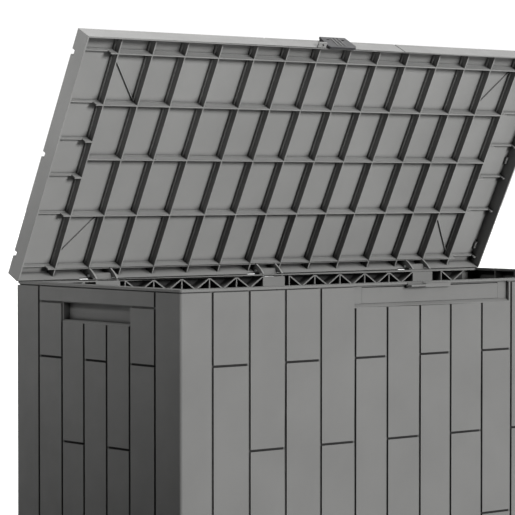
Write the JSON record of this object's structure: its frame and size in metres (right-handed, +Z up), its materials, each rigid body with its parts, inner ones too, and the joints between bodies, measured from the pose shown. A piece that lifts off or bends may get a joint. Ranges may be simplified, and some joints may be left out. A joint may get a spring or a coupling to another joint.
{
  "type": "deck storage box",
  "caption": "Large resin deck storage box with plank-look walls, an open hinged lid ribbed underneath, a pull latch, a padlock ledge and recessed side hand grips.",
  "frame": {"origin": "centre of the underside of the floor, on the ground", "axes": "+X along the width to the right seen from the front, +Y from the front to the hinged rear, +Z up"},
  "size_m": [1.14, 0.504, 1.0063],
  "materials": {
    "resin_grey": "matte, very fine texture",
    "resin_dark": "satin",
    "steel": "plain zinc"
  },
  "bodies": {
    "box": {"base_floor": "resin_grey", "front_panel": "resin_grey", "back_panel": "resin_grey", "left_panel": "resin_grey", "right_panel": "resin_grey", "front_plate": "resin_grey", "hinge_pin_left": "steel", "hinge_pin_middle": "steel", "hinge_pin_right": "steel", "corner_screw_left_front_low": "steel", "corner_screw_left_front_high": "steel", "corner_screw_left_rear_low": "steel", "corner_screw_left_rear_high": "steel", "corner_screw_right_front_low": "steel", "corner_screw_right_front_high": "steel", "corner_screw_right_rear_low": "steel", "corner_screw_right_rear_high": "steel", "floor_screw_left": "steel", "floor_screw_right": "steel", "floor_screw_front_left": "steel", "floor_screw_front_right": "steel", "floor_screw_rear_left": "steel", "floor_screw_rear_right": "steel"},
    "lid": {"lid_panel": "resin_grey", "latch_pin": "steel"},
    "latch": {"latch_handle": "resin_dark"}
  },
  "joints": [
    {"name": "lid_hinge", "type": "hinge", "parent": "box", "child": "lid", "pos_m": [0, 0.22975, 0.5719], "axis": [-1, 0, 0], "range_deg": [-63.05, 32]},
    {"name": "latch_pivot", "type": "hinge", "parent": "lid", "child": "latch", "pos_m": [0, 0.03711, 1.00066], "axis": [-1, 0, 0], "range_deg": [-2.5, 25]}
  ]
}
